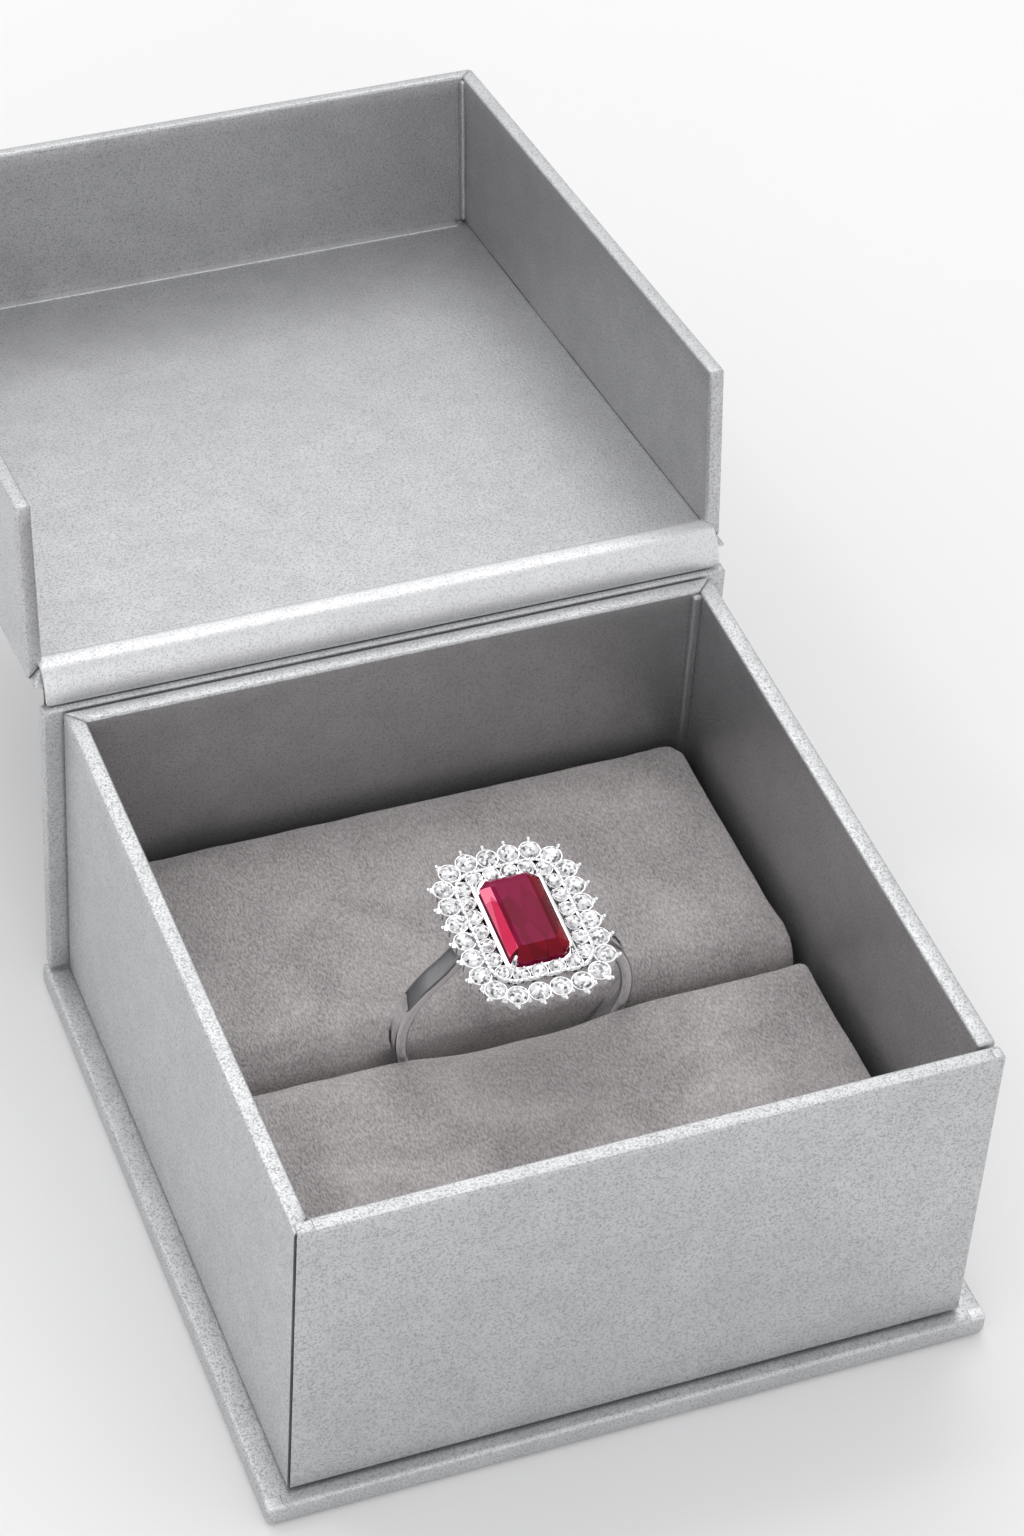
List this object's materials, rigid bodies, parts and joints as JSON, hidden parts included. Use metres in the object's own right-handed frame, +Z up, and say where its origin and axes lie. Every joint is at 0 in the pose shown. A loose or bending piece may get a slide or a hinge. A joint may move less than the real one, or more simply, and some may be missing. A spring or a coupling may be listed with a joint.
{
  "type": "ring box",
  "caption": "Square paper-covered ring box with a hinged lid laid open and a slotted velvet pad that holds an upright ring.",
  "frame": {"origin": "centre of the base board's underside, on the surface the box stands on", "axes": "+X along the hinge, to the right seen from the front; +Y from the tray's front wall to the hinge and the open lid; +Z up"},
  "size_m": [0.06, 0.1227, 0.0487],
  "materials": {
    "silver_paper": "board wrapped in silver-grey pearl paper with a fine pebble grain",
    "grey_card": "plain grey card",
    "grey_foam": "soft grey foam",
    "grey_velvet": "warm grey short-pile velvet",
    "white_gold": "polished white metal",
    "red_stone": "clear deep red faceted stone"
  },
  "bodies": {
    "base": {"base_board": "silver_paper", "spine_board": "silver_paper", "tray_front_wall": "silver_paper", "tray_rear_wall": "silver_paper", "tray_left_wall": "silver_paper", "tray_right_wall": "silver_paper", "tray_floor": "silver_paper", "insert_card": "grey_card", "front_foam": "grey_foam", "rear_foam": "grey_foam", "front_pad_cover": "grey_velvet", "rear_pad_cover": "grey_velvet"},
    "lid": {"lid_board": "silver_paper", "lid_front_wall": "silver_paper", "lid_left_wall": "silver_paper", "lid_right_wall": "silver_paper"},
    "ring": {"ring_band": "white_gold", "ring_gallery": "white_gold", "inner_halo": "white_gold", "outer_halo": "white_gold", "centre_stone": "red_stone", "prong_front_left": "white_gold", "prong_front_right": "white_gold", "prong_rear_left": "white_gold", "prong_rear_right": "white_gold"}
  },
  "joints": [
    {"name": "lid_hinge", "type": "hinge", "parent": "base", "child": "lid", "pos_m": [0, 0.03015, 0.033], "axis": [-1, 0, 0], "range_deg": [-188.5, 23.5]},
    {"name": "ring_lift", "type": "slide", "parent": "base", "child": "ring", "axis": [0, -0.1045, 0.9945], "range_m": [0, 0.045]}
  ]
}
